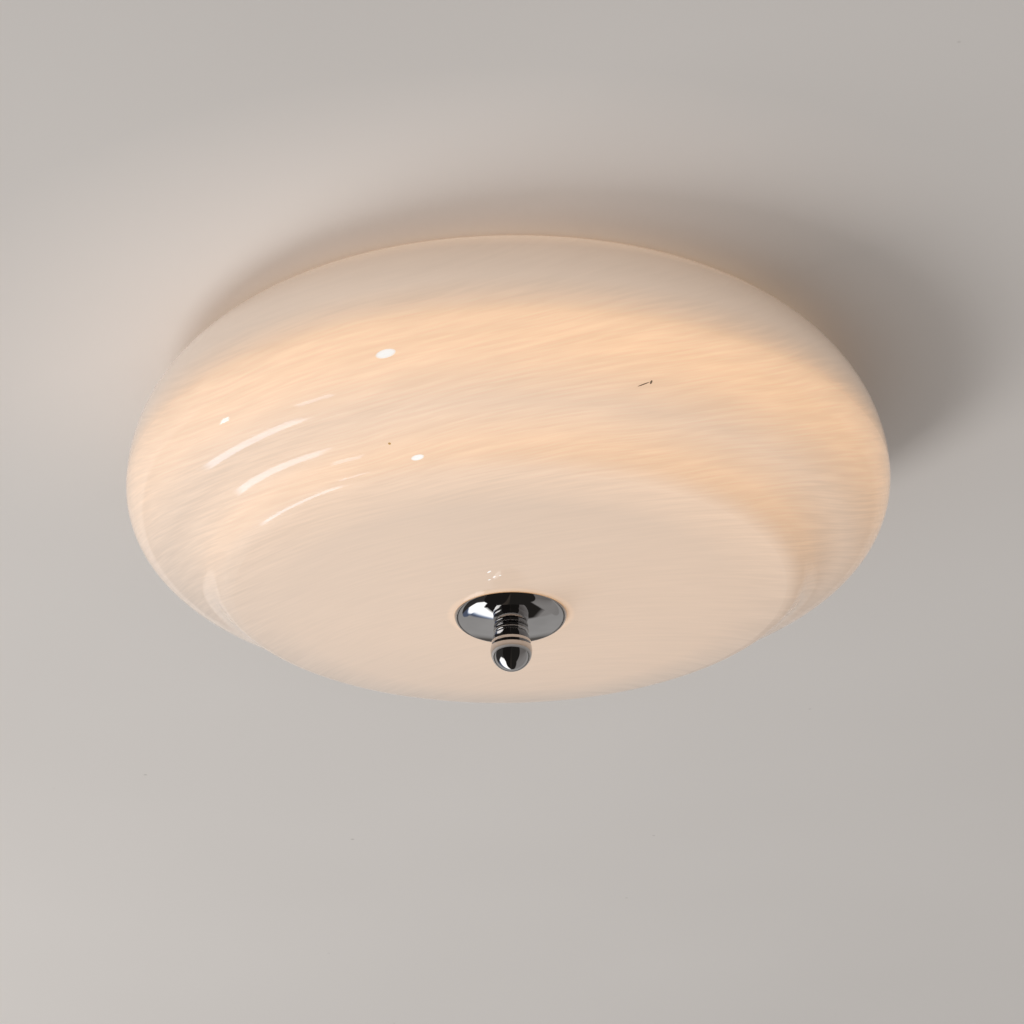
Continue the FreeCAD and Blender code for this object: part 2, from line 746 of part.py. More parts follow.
def make_bush():
    """A soft flanged bush that keeps the glass off the steel seat and off the rod."""
    bore = D.rod_radius + D.bush_bore_clearance
    collar = D.glass_hole_radius - D.bush_hole_clearance
    flange = D.bush_flange_radius
    skin = D.glass_wall + D.bush_glass_gap
    inner_arc = D.shade_dome_arc - skin
    body = turned("glass_bush", [
        (bore, GLASS_BOTTOM + D.bush_hole_clearance),
        (collar, GLASS_BOTTOM + D.bush_hole_clearance),
        (collar, dome_height(collar, skin), inner_arc, 1),
        (flange, dome_height(flange, skin)),
        (flange, SEAT_WASHER_BOTTOM),
        (bore, SEAT_WASHER_BOTTOM),
    ])
    return listed(body, "glass_bush")


def make_cap():
    """A shallow chrome dome with a rounded edge, open toward the glass, and the soft gasket inside it."""
    neck, t = D.cap_neck_radius, D.cap_sheet
    dome, edge = D.cap_dome_arc, D.cap_edge_arc
    bore = D.rod_radius + D.cap_bore_clearance
    start, rim = cap_outline(ZERO)
    inner_start, inner_rim = cap_outline(t)
    body = turned("finial_cap", [
        (bore, CAP_NECK),
        (neck, CAP_NECK, dome, 1),
        (start, cap_height(start, ZERO), edge, 1),
        (rim, CAP_RIM),
        (inner_rim, CAP_RIM, edge - t, -1),
        (inner_start, cap_height(inner_start, t), dome - t, -1),
        (neck, CAP_FLOOR),
        (bore, CAP_FLOOR),
    ])
    listed(body, "finial_cap")

    outer = D.gasket_radius
    gap = -D.gasket_glass_gap
    gasket = turned("cap_gasket", [
        (bore, CAP_FLOOR),
        (neck, CAP_FLOOR, dome - t, 1),
        (outer, cap_height(outer, t)),
        (outer, dome_height(outer, gap)),
        (bore, dome_height(bore, gap)),
    ])
    listed(gasket, "cap_gasket")


def make_finial():
    """The knob: bead, groove, flared collar and ball, with a blind threaded hole from above."""
    top = CAP_NECK
    bore = D.rod_radius + D.thread_clearance
    bead, bead_round, groove = D.finial_bead_radius, D.finial_bead_round, D.finial_groove_radius
    groove_top = top - D.finial_bead_height
    collar_top = groove_top - D.finial_groove_height
    collar_low = collar_top - D.finial_collar_height
    ball, centre = D.finial_ball_radius, top - D.finial_ball_place
    join = root(ball * ball - (collar_low - centre) * (collar_low - centre))
    bore_low = top - D.finial_bore_depth
    body = turned("finial", [
        (ZERO, centre - ball, ball, 1),
        (ball, centre, ball, 1),
        (join, collar_low),
        (D.finial_collar_radius, collar_low, D.finial_collar_arc, 1),
        (D.finial_collar_top_radius, collar_top),
        (groove, collar_top),
        (groove, groove_top),
        (bead - bead_round, groove_top, bead_round, 1),
        (bead, groove_top + bead_round),
        (bead, top - bead_round, bead_round, 1),
        (bead - bead_round, top),
        (bore, top),
        (bore, bore_low),
        (ZERO, bore_low - D.finial_bore_cone),
    ])
    return listed(body, "finial")


def make_holder(number, direction):
    """One lampholder on its angle bracket, with its threaded shell and sprung contact."""
    turn = lamp_turn(direction)
    face, sheet_metal = D.bracket_face, D.bracket_sheet
    foot_drop = D.lamp_axis_drop - D.well_depth - D.pan_sheet
    # Local X points down and local Z outward, with the origin on the lamp's axis above the rod's line.
    angle = padded(f"holder_bracket_{number}", "XZ_Plane", [
        (-foot_drop, D.bracket_inner),
        (-foot_drop + sheet_metal, D.bracket_inner),
        (-foot_drop + sheet_metal, face - sheet_metal),
        (-foot_drop + D.bracket_height, face - sheet_metal),
        (-foot_drop + D.bracket_height, face),
        (-foot_drop, face),
    ], D.bracket_width, midplane=True)
    side = D.bracket_screw_spacing / 2
    drill(angle, f"foot_holes_{number}", "YZ_Plane", midplane=True, circles=[
        (side, D.bracket_screw_place, SMALL_HOLE),
        (-side, D.bracket_screw_place, SMALL_HOLE),
    ])
    side = D.holder_screw_spacing / 2
    drill(angle, f"face_holes_{number}", "XY_Plane", midplane=True, circles=[
        (ZERO, side, SMALL_HOLE),
        (ZERO, -side, SMALL_HOLE),
    ])
    listed(place(angle, z=LAMP_AXIS, rotation=turn), f"holder_bracket_{number}")

    r, mouth, soft = D.holder_radius, D.holder_mouth_radius, D.holder_round
    floor, end = face + D.holder_floor, face + D.holder_length
    holder = turned(f"lampholder_{number}", [
        (ZERO, face), (r - soft, face, soft, 1), (r, face + soft), (r, end - soft, soft, 1), (r - soft, end),
        (mouth, end), (mouth, floor), (ZERO, floor),
    ])
    pilot, deep = D.small_screw_radius + D.thread_clearance, face + D.holder_screw_depth
    pilots = [(ZERO, side, pilot), (ZERO, -side, pilot)]
    drill(holder, f"fixing_holes_{number}", "XY_Plane", reverse=True, depth=deep, circles=pilots)
    entry = D.lead_radius + D.thread_clearance
    drill(holder, f"lead_ways_{number}", "XZ_Plane", midplane=True, circles=[
        (D.lead_spacing / 2, face + D.holder_entry, entry),
        (-D.lead_spacing / 2, face + D.holder_entry, entry),
    ])
    listed(place(holder, z=LAMP_AXIS, rotation=turn), f"lampholder_{number}")

    outer = mouth - D.shell_clearance
    shell = ring(f"screw_shell_{number}", outer - D.shell_wall, outer,
                 end - D.shell_inset - D.shell_length, end - D.shell_inset)
    listed(place(shell, z=LAMP_AXIS, rotation=turn), f"screw_shell_{number}")

    plate, tip = D.contact_plate, D.contact_tip_radius
    contact = turned(f"centre_contact_{number}", [
        (ZERO, floor), (D.contact_radius, floor), (D.contact_radius, floor + plate),
        (tip, floor + D.contact_rise), (ZERO, floor + D.contact_rise),
    ])
    listed(place(contact, z=LAMP_AXIS, rotation=turn), f"centre_contact_{number}")


def make_bulb(number, direction):
    """One round bulb, screwed into its holder."""
    turn = lamp_turn(direction)
    tip = D.bracket_face + D.holder_floor + D.contact_rise + D.bulb_tip_gap
    button_end = tip + D.bulb_button_height
    cap_start = button_end + D.bulb_insulator_height
    cap_end = cap_start + D.bulb_cap_length
    button = turned(f"bulb_contact_{number}", [
        (ZERO, tip), (D.bulb_button_radius / 2, tip), (D.bulb_button_radius, button_end),
        (D.bulb_insulator_radius, button_end), (D.bulb_insulator_radius, cap_start), (ZERO, cap_start),
    ])
    listed(place(button, z=LAMP_AXIS, rotation=turn), f"bulb_contact_{number}")

    crest, wall = D.bulb_cap_radius, D.bulb_cap_wall
    thread_root = crest - D.bulb_thread_depth
    inner = thread_root - wall
    half = D.bulb_thread_pitch / 2
    flank = half / 2
    outline = [(inner, cap_start), (thread_root, cap_start)]
    first = cap_start + flank
    for turn_number in range(THREAD_TURNS):
        start = first + D.bulb_thread_pitch * turn_number
        outline += [(thread_root, start), (crest, start + flank)]
        outline += [(crest, start + half), (thread_root, start + half + flank)]
    outline += [(thread_root, cap_end), (inner, cap_end)]
    cap = turned(f"bulb_cap_{number}", outline)
    listed(place(cap, z=LAMP_AXIS, rotation=turn), f"bulb_cap_{number}")

    seam, ball, skin = D.bulb_seam_radius, D.bulb_ball_radius, D.bulb_wall
    housing_end = cap_end + D.bulb_housing_length
    housing = turned(f"bulb_housing_{number}", [
        (ZERO, cap_end), (crest, cap_end), (seam, housing_end), (seam - skin, housing_end),
        (seam - skin, housing_end - skin), (ZERO, housing_end - skin),
    ])
    listed(place(housing, z=LAMP_AXIS, rotation=turn), f"bulb_housing_{number}")

    centre = housing_end + root(ball * ball - seam * seam)
    hollow = ball - skin
    inner_seam = seam - skin
    diffuser = turned(f"bulb_diffuser_{number}", [
        (inner_seam, centre - root(hollow * hollow - inner_seam * inner_seam)),
        (inner_seam, housing_end),
        (seam, housing_end, ball, 1),
        (ball, centre, ball, 1),
        (ZERO, centre + ball),
        (ZERO, centre + hollow, hollow, -1),
        (hollow, centre, hollow, -1),
    ])
    listed(place(diffuser, z=LAMP_AXIS, rotation=turn), f"bulb_diffuser_{number}")


def make_bracket_fasteners():
    """Screws up through the bracket feet, with nuts in the well, and screws into the holders' backs."""
    foot_screws, foot_nuts, face_screws = [], [], []
    radius, sheets = D.small_screw_radius, D.bracket_sheet + D.pan_sheet
    face_reach = D.bracket_sheet + D.holder_screw_depth - D.holder_screw_gap
    inner_face = D.bracket_face - D.bracket_sheet
    for lamp, direction in enumerate(LAMP_DIRECTIONS, start=1):
        # A face screw's head lies on the inner side of the bracket, and its shank runs outward.
        outward = lamp_turn(direction) * UPWARD
        for side in (1.0, -1.0):
            tag = f"{lamp}{'a' if side > 0 else 'b'}"
            x, y = bracket_screw_point(direction, side)
            foot = small_screw(f"foot_screw_{tag}", radius, sheets)
            foot_screws.append(place(foot, x, y, WELL_FLOOR - D.bracket_sheet, UPWARD))
            foot_nuts.append(place(small_nut(f"foot_nut_{tag}", radius), x, y, WELL_FLOOR_TOP))
            x, y = plan_point(direction, inner_face, D.holder_screw_spacing * (side / 2))
            face = screw(f"face_screw_{tag}", radius, face_reach,
                         D.small_screw_head_radius, D.small_screw_head_height)
            face_screws.append(place(face, x, y, LAMP_AXIS, outward))
    group("bracket_screws", foot_screws)
    group("bracket_nuts", foot_nuts)
    group("holder_screws", face_screws)


def make_terminals():
    """A three-way terminal block under the well's floor, with a brass insert and two screws in each way."""
    half, wide, tall = D.block_length / 2, D.block_width / 2, D.block_height
    outline = [(-half, -wide), (half, -wide), (half, wide), (-half, wide)]
    block = padded("terminal_block", "XY_Plane", outline, tall)
    poles = [D.block_pitch * n for n in (-1.0, 0.0, 1.0)]
    screw_y = D.terminal_screw_spacing / 2
    way = tall - D.block_wire_drop
    drill(block, "wire_ways", "XZ_Plane", midplane=True, circles=[(x, way, D.insert_radius) for x in poles])
    wells = [(x, y, D.terminal_screw_radius + D.hole_clearance) for x in poles for y in (screw_y, -screw_y)]
    drill(block, "screw_wells", "XY_Plane", circles=wells, depth=way, reverse=True)
    fixing = (BLOCK_SCREW_X, ZERO, D.block_screw_radius + D.hole_clearance)
    last = drill(block, "fixing_hole", "XY_Plane", circles=[fixing], reverse=True)
    corners = []
    for number, edge in enumerate(block.Shape.Edges, start=1):
        middle = edge.CenterOfMass
        if abs(abs(middle.x) - half.value) < 1e-6 and abs(abs(middle.y) - wide.value) < 1e-6:
            corners.append(f"Edge{number}")
    fillet = block.newObject("PartDesign::Fillet", "block_corners")
    fillet.Base = (last, corners)
    bind(fillet, "Radius", D.block_round)
    bottom = WELL_FLOOR - tall
    listed(place(block, y=-D.block_place, z=bottom), "terminal_block")

    inserts, small = [], []
    along_y = FreeCAD.Rotation(FreeCAD.Vector(1, 0, 0), 90.0)
    insert_radius = D.insert_radius - D.thread_clearance
    reach = way - insert_radius
    for number, x in enumerate(poles, start=1):
        insert = ring(f"insert_{number}", D.insert_bore_radius, insert_radius, -INSERT_HALF, INSERT_HALF)
        inserts.append(place(insert, x, -D.block_place, WIRE_HEIGHT, along_y))
        for side in (1.0, -1.0):
            tag = f"{number}{'a' if side > 0 else 'b'}"
            pin = solid("Cylinder", f"terminal_screw_{tag}", Radius=D.terminal_screw_radius, Height=reach)
            slot = driver_slot(f"terminal_screw_{tag}", D.terminal_screw_radius)
            place(slot, x=-D.terminal_screw_radius, y=-D.screw_slot_width / 2)
            slotted = cut_from(f"slotted_screw_{tag}", pin, slot)
            small.append(place(slotted, x, screw_y * side - D.block_place, bottom))
    group("terminal_inserts", inserts)
    group("terminal_screws", small)
    bolt = small_screw("block_screw", D.block_screw_radius, tall + D.pan_sheet)
    listed(place(bolt, BLOCK_SCREW_X, -D.block_place, bottom, UPWARD), "block_screw")
    nut = small_nut("block_nut", D.block_screw_radius)
    listed(place(nut, BLOCK_SCREW_X, -D.block_place, WELL_FLOOR_TOP), "block_nut")


def make_earth():
    """The earth point: a ring tag with a crimped barrel, under the well's floor on a screw and a nut."""
    thickness, radius = D.earth_tag_thickness, D.earth_barrel_radius
    eye = ring("earth_eye", SMALL_HOLE, D.earth_tag_radius, -thickness, ZERO)
    length = D.earth_barrel_end - D.earth_barrel_start
    barrel = solid("Cylinder", "earth_barrel", Radius=radius, Height=length)
    along_x = FreeCAD.Rotation(FreeCAD.Vector(0, 1, 0), 90.0)
    place(barrel, x=D.earth_barrel_start, z=-radius, rotation=along_x)
    about_z = FreeCAD.Rotation(FreeCAD.Vector(0, 0, 1), EARTH_DIRECTION)
    tag = joined("earth_tag", [eye, barrel])
    listed(place(tag, D.earth_x, -D.earth_y, WELL_FLOOR, about_z), "earth_tag")
    bolt = small_screw("earth_screw", D.small_screw_radius, thickness + D.pan_sheet)
    listed(place(bolt, D.earth_x, -D.earth_y, WELL_FLOOR - thickness, UPWARD), "earth_screw")
    nut = small_nut("earth_nut", D.small_screw_radius)
    listed(place(nut, D.earth_x, -D.earth_y, WELL_FLOOR_TOP), "earth_nut")


def lead_path(name, points):
    """Straight runs from point to point, joined by tangent arcs as large as the runs allow."""
    edges = []
    radii = []
    run_start = points[0]
    for before, corner, after in zip(points, points[1:], points[2:]):
        back, on = before - corner, after - corner
        turn = math.pi - back.getAngle(on)
        reach = LEAD_BEND_SHARE * min(back.Length, on.Length)
        radius = reach / math.tan(turn / 2)
        radii.append(radius)
        arc_start = corner + back.normalize() * reach
        arc_end = corner + on.normalize() * reach
        middle = corner + (back + on).normalize() * (radius / math.cos(turn / 2) - radius)
        edges.append(Part.LineSegment(run_start, arc_start).toShape())
        edges.append(Part.Arc(arc_start, middle, arc_end).toShape())
        run_start = arc_end
    edges.append(Part.LineSegment(run_start, points[-1]).toShape())
    print(f"{name:22s} bend radii {', '.join(f'{radius:.1f}' for radius in radii)}")
    return Part.Wire(edges)


def lead(name, points):
    """One round lead along its path."""
    path = lead_path(name, points)
    radius = D.lead_radius.value
    section = Part.Wire(Part.makeCircle(radius, points[0], points[1] - points[0]))
    tube = path.makePipeShell([section], True, False)
    expected = math.pi * radius * radius * path.Length
    if abs(tube.Volume / expected - 1) > 0.01:
        raise RuntimeError(f"{name} has volume {tube.Volume}, not {expected}")
    thing = doc.addObject("Part::Feature", name)
    thing.Shape = tube
    return thing


def spot(x, y, z):
    return FreeCAD.Vector(as_size(x).value, as_size(y).value, as_size(z).value)


def holder_port(direction, side, level, out):
    """A point in line with a holder's side entry; out is how far it stands from the holder's wall."""
    x, y = plan_point(direction, D.bracket_face + D.holder_entry, (D.holder_radius + out) * side)
    return spot(x, y, LAMP_AXIS + D.lead_spacing * (level / 2))


def make_leads():
    """Two feeds from the block to lamp 2, links from lamp 2 to 1 and from 1 to 3, and the earth lead."""
    lamp_1, lamp_2, lamp_3 = LAMP_DIRECTIONS
    plug, stub = -D.lead_plug_depth, D.lead_stub
    block_end = -(D.block_place + INSERT_HALF)
    loop_y = block_end - D.lead_loop
    feeds, links = [], []
    for name, level in (("live", 1.0), ("neutral", -1.0)):
        x = -D.block_pitch * level
        feeds.append(lead(f"{name}_feed", [
            spot(x, block_end, WIRE_HEIGHT),
            spot(x, loop_y, WIRE_HEIGHT),
            spot(x, loop_y, -D.lead_loop_drop),
            holder_port(lamp_2, 1.0, level, stub),
            holder_port(lamp_2, 1.0, level, plug),
        ]))
        for one, other, number in ((lamp_2, lamp_1, 1), (lamp_1, lamp_3, 2)):
            links.append(lead(f"{name}_link_{number}", [
                holder_port(one, -1.0, level, plug),
                holder_port(one, -1.0, level, stub),
                holder_port(other, 1.0, level, stub),
                holder_port(other, 1.0, level, plug),
            ]))
    group("feed_leads", feeds)
    group("link_leads", links)

    barrel_height = WELL_FLOOR - D.earth_barrel_radius
    tag = []
    for distance in (D.earth_barrel_end, D.earth_barrel_end * 2):
        dx, dy = plan_point(EARTH_DIRECTION, distance)
        tag.append(spot(D.earth_x + dx, dy - D.earth_y, barrel_height))
    listed(lead("earth_lead", [
        spot(ZERO, block_end, WIRE_HEIGHT),
        spot(ZERO, block_end - D.earth_lead_reach, WIRE_HEIGHT),
        spot(D.block_pitch, block_end - D.earth_lead_swing, WIRE_HEIGHT + D.earth_lead_rise),
        tag[1],
        tag[0],
    ]), "earth_lead")


def make_grommet():
    """A rubber ring that grips the sheet around the supply cable's hole."""
    bore, flange, t = D.grommet_bore_radius, D.grommet_flange_radius, D.grommet_flange_thickness
    neck = D.grommet_hole_radius - D.thread_clearance
    low, high = WELL_FLOOR, WELL_FLOOR_TOP
    grommet = turned("entry_grommet", [
        (bore, low - t), (flange, low - t), (flange, low), (neck, low),
        (neck, high), (flange, high), (flange, high + t), (bore, high + t),
    ])
    listed(place(grommet, y=-D.grommet_place), "entry_grommet")


def main():
    make_shade()
    make_pan()
    make_bar()
    make_studs()
    make_rod()
    make_bush()
    make_cap()
    make_finial()
    for number, direction in enumerate(LAMP_DIRECTIONS, start=1):
        make_holder(number, direction)
        make_bulb(number, direction)
    make_bracket_fasteners()
    make_terminals()
    make_earth()
    make_leads()
    make_grommet()
    doc.recompute()
    for thing in doc.Objects:
        if "Invalid" in thing.State or "Error" in thing.State:
            raise RuntimeError(f"{thing.Label} failed: {thing.State}")
    for part in parts:
        if part.Shape.isNull() or not part.Shape.isValid():
            raise RuntimeError(f"{part.Label} has no valid shape")
    for part in parts:
        part.Shape.exportStep(f"parts/{part.Label}.step")
        print(f"{part.Label:22s} solids {len(part.Shape.Solids)} volume {part.Shape.Volume:10.1f}")


main()
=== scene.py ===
"""Looks of the flush mount ceiling light: finishes, ceiling, light and camera round the frame."""

import math

import bpy
from mathutils import Matrix, Vector

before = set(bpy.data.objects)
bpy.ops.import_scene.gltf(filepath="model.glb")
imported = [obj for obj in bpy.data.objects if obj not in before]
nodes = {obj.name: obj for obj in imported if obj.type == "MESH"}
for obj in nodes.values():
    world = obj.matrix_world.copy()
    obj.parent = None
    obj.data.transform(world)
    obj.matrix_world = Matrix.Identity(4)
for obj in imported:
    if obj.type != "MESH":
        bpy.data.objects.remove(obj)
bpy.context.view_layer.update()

MM = 0.001

# ---------------------------------------------------------------- camera
PHOTO_WIDTH = 1024
FOCAL_PIXELS = 3806.9
SENSOR_WIDTH = 36.0
CAMERA_DISTANCE = 2000 * MM
CAMERA_BELOW = math.radians(26.11)
CAMERA_ROLL = math.radians(1.03)
LOOK_AT = Vector((0, 0, -60)) * MM
AIM_RIGHT = 1.63 * MM
AIM_DOWN = 10.2 * MM
CLIP_NEAR = 0.05
CLIP_FAR = 50


def make_camera():
    """A long lens below the light, aimed up at it, as the photograph was taken."""
    forward = Vector((0, math.cos(CAMERA_BELOW), math.sin(CAMERA_BELOW)))
    right = Vector((1, 0, 0))
    up = right.cross(forward)
    place = LOOK_AT - CAMERA_DISTANCE * forward
    aim = LOOK_AT + AIM_RIGHT * right - AIM_DOWN * up
    forward = (aim - place).normalized()
    right = forward.cross(up).normalized()
    up = right.cross(forward)
    turned_right = math.cos(CAMERA_ROLL) * right - math.sin(CAMERA_ROLL) * up
    turned_up = math.sin(CAMERA_ROLL) * right + math.cos(CAMERA_ROLL) * up
    turn = Matrix((turned_right, turned_up, -forward)).transposed()
    data = bpy.data.cameras.new("photo_camera")
    data.sensor_width = SENSOR_WIDTH
    data.lens = FOCAL_PIXELS / PHOTO_WIDTH * SENSOR_WIDTH
    data.clip_start = CLIP_NEAR
    data.clip_end = CLIP_FAR
    camera = bpy.data.objects.new("photo_camera", data)
    camera.matrix_world = Matrix.Translation(place) @ turn.to_4x4()
    bpy.context.scene.collection.objects.link(camera)
    bpy.context.scene.camera = camera


# ---------------------------------------------------------------- node trees
class Nodes:
    """A node tree and short ways to add to it."""

    def __init__(self, tree, coordinate):
        self.tree = tree
        self.place = self.add("ShaderNodeTexCoord").outputs[coordinate]

    def add(self, kind, inputs=(), **settings):
        """A node with its settings, and inputs given as values or as other nodes' outputs."""
        node = self.tree.nodes.new(kind)
        for setting, value in settings.items():
            setattr(node, setting, value)
        for socket, value in dict(inputs).items():
            self.feed(node.inputs[socket], value)
        return node

    def feed(self, socket, value):
        """Links an output to the socket, or sets the socket's own value."""
        if isinstance(value, bpy.types.NodeSocket):
            self.tree.links.new(value, socket)
        else:
            socket.default_value = value

    def sum(self, operation, first, second=0.0, third=0.0):
        """A Math node."""
        node = self.add("ShaderNodeMath", operation=operation)
        for socket, value in zip(node.inputs, (first, second, third)):
            self.feed(socket, value)
        return node.outputs[0]

    def parts(self, vector):
        """The X, Y and Z of a vector."""
        node = self.add("ShaderNodeSeparateXYZ", {"Vector": vector})
        return node.outputs[0], node.outputs[1], node.outputs[2]

    def vector(self, along_x, along_y, along_z):
        """A vector from three numbers or outputs."""
        node = self.add("ShaderNodeCombineXYZ")
        for socket, value in zip(node.inputs, (along_x, along_y, along_z)):
            self.feed(socket, value)
        return node.outputs[0]

    def spread(self, value, low, high, new_low=0.0, new_high=1.0):
        """The value's range low to high stretched to a new range, and held there."""
        node = self.add("ShaderNodeMapRange")
        for socket, number in zip(node.inputs, (value, low, high, new_low, new_high)):
            self.feed(socket, number)
        return node.outputs[0]

    def noise(self, scale, detail=2.0, roughness=0.5, at=None, warp=0.0):
        """Noise from 0 to 1, scale cells to the metre."""
        node = self.add("ShaderNodeTexNoise", {
            "Vector": self.place if at is None else at,
            "Scale": scale,
            "Detail": detail,
            "Roughness": roughness,
            "Distortion": warp,
        })
        return node.outputs[0]

    def ramp(self, factor, stops):
        """A colour ramp whose stops are (position, colour)."""
        node = self.add("ShaderNodeValToRGB", {"Fac": factor})
        elements = node.color_ramp.elements
        while len(elements) < len(stops):
            elements.new(0.5)
        for element, (position, colour) in zip(elements, stops):
            element.position = position
            element.color = (*colour, 1)
        return node.outputs[0]

    def blend(self, factor, first, second, mode="MIX"):
        """Two colours mixed."""
        node = self.add("ShaderNodeMix", data_type="RGBA", blend_type=mode)
        self.feed(node.inputs["Factor"], factor)
        colours = [socket for socket in node.inputs if socket.type == "RGBA"]
        self.feed(colours[0], first if isinstance(first, bpy.types.NodeSocket) else (*first, 1))
        self.feed(colours[1], second if isinstance(second, bpy.types.NodeSocket) else (*second, 1))
        return [socket for socket in node.outputs if socket.type == "RGBA"][0]

    def flaw_or_glint(self, middle, along, length, width):
        """1 inside a small ellipse on the surface, given in millimetres, and 0 outside."""
        along = Vector(along).normalized()
        offset = self.add("ShaderNodeVectorMath", operation="SUBTRACT")
        self.feed(offset.inputs[0], self.place)
        self.feed(offset.inputs[1], Vector(middle) * MM)
        run = self.dot(offset.outputs[0], along)
        away = self.length(offset.outputs[0])
        run_share = self.sum("POWER", self.sum("DIVIDE", run, length / 2 * MM), 2)
        beside = self.sum("SUBTRACT", self.sum("POWER", away, 2), self.sum("POWER", run, 2))
        side_share = self.sum("DIVIDE", beside, (width / 2 * MM) ** 2)
        return self.spread(self.sum("ADD", run_share, side_share), *FLAW_AND_GLINT_EDGE)

    def length(self, vector):
        """The length of a vector."""
        return self.add("ShaderNodeVectorMath", {0: vector}, operation="LENGTH").outputs["Value"]

    def dot(self, vector, fixed):
        """How far the vector reaches along a fixed direction."""
        node = self.add("ShaderNodeVectorMath", operation="DOT_PRODUCT")
        self.feed(node.inputs[0], vector)
        self.feed(node.inputs[1], fixed)
        return node.outputs["Value"]


class Finish(Nodes):
    """One procedural material."""

    def __init__(self, name, **sockets):
        self.material = bpy.data.materials.new(name)
        self.material.use_nodes = True
        super().__init__(self.material.node_tree, "Object")
        self.surface = self.tree.nodes["Principled BSDF"]
        for socket, value in sockets.items():
            self.surface.inputs[socket.replace("_", " ")].default_value = value

    def drive(self, socket, value):
        """Feeds one input of the surface shader."""
        self.feed(self.surface.inputs[socket], value)

    def mottle(self, socket, low, high, *cells):
        """Feeds an input with a colour that drifts between two, by a noise."""
        self.drive(socket, self.ramp(self.noise(*cells), ((0.3, low), (0.7, high))))

    def bump(self, height, strength, distance):
        """Bump from a height, distance in metres."""
        inputs = {"Height": height, "Strength": strength, "Distance": distance}
        self.drive("Normal", self.add("ShaderNodeBump", inputs).outputs[0])


def grey(level):
    """The same level in red, green and blue."""
    return (level, level, level)


# ---------------------------------------------------------------- glass
GLASS_DEPTH = 140 * MM
SHADE_RADIUS = 200 * MM
TIER_EDGE = 150 * MM
DISC_EDGE = 115 * MM
CAP_EDGE = 31.5 * MM

# Strokes run round a place beyond the glass and climb it. Cells to the metre: along, across.
STROKE_CENTRE = 200 * MM
STROKE_CLIMB = -1.3
STROKE_SLANT = 0.35
STROKE_WANDER = 0.014
STROKE_CELLS = (34, 430)
BAND_CELLS = (12, 110)
STROKE_SHARE = 0.82
BAND_SHARE = 0.18
STROKE_ON_DISC = 0.35
STROKE_ABOVE_LAMPS = 0.25
LAMPS_FADE = (-62 * MM, -38 * MM)
OPAL = ((0.0, (0.56, 0.525, 0.49)), (1.0, (0.62, 0.585, 0.55)))

# Lamplight through the glass: its colours, then its level by depth in millimetres.
UPPER_GLOW = (1.0, 0.69, 0.47)
LOWER_GLOW = (1.0, 0.56, 0.26)
HUE_TURNS = (40 * MM, 60 * MM)
RIM_GLOW = (0.46, 0.37, 0.28)
RIM_DEPTH = 8 * MM
RIM_SHARE = 0.8
GLOW_STRENGTH = 1.0
GLOW_BY_DEPTH = (
    (0, 0.31),
    (8, 0.27),
    (15, 0.215),
    (30, 0.235),
    (49, 0.30),
    (56, 0.34),
    (61, 0.40),
    (67, 0.435),
    (78, 0.435),
    (85, 0.41),
    (90, 0.36),
    (97, 0.30),
    (104, 0.36),
    (108, 0.40),
    (113, 0.38),
    (118, 0.32),
    (131, 0.35),
)

# What the level is multiplied by: towards the front above and below the lamps, and beside them.
FRONT_GAIN = (0.28, 0.55)
FRONT_GAIN_TURNS = (45 * MM, 62 * MM)
RIGHT_GAIN = 0.20
RIGHT_GAIN_TURNS = (50 * MM, 75 * MM)
STROKE_GAIN = (0.95, 1.11)
CLOUD_GAIN = (0.97, 1.03)
CAP_GAIN = 1.25
CAP_GAIN_WIDTH = 2 * MM

# Small marks in the glass and painted glints: middle and direction in millimetres, length, width;
# then colour.
FLAW_AND_GLINT_EDGE = (1.2, 0.7)
FLAW_AND_GLINT_GLOW = 0.45
SEED_AND_GLINT_WHITE = (0.95, 0.93, 0.90)
FLECK_BROWN = (0.16, 0.11, 0.07)
GLASS_FLAWS_AND_GLINTS = (
    (((-57.7, -188.0, -76.8), (1.0, -0.3, 0.1), 10.0, 4.0), SEED_AND_GLINT_WHITE),
    (((-43.8, -147.2, -112.3), (1.0, -0.3, 0.1), 6.5, 2.6), SEED_AND_GLINT_WHITE),
    (((66.0, -175.8, -89.5), (0.95, -0.05, 0.35), 8.0, 0.7), FLECK_BROWN),
    (((69.5, -175.6, -88.6), (0.30, -0.40, 0.85), 2.6, 1.2), FLECK_BROWN),
    (((-57.3, -149.2, -105.5), (1.0, 0.0, 0.0), 1.5, 1.2), (0.45, 0.28, 0.10)),
    # The last four are painted glints: light thrown onto the glass by the chrome finial, not seeds.
    (((-10.5, -51.0, -129.4), (0.6, -0.8, 0.0), 3.0, 1.0), SEED_AND_GLINT_WHITE),
    (((-8.0, -45.5, -129.6), (0.5, -0.8, 0.0), 2.4, 0.9), SEED_AND_GLINT_WHITE),
    (((-10.5, -42.5, -129.7), (0.8, -0.6, 0.0), 1.8, 0.9), SEED_AND_GLINT_WHITE),
    (((-5.0, -47.0, -129.6), (0.8, -0.6, 0.0), 1.5, 0.7), SEED_AND_GLINT_WHITE),
)


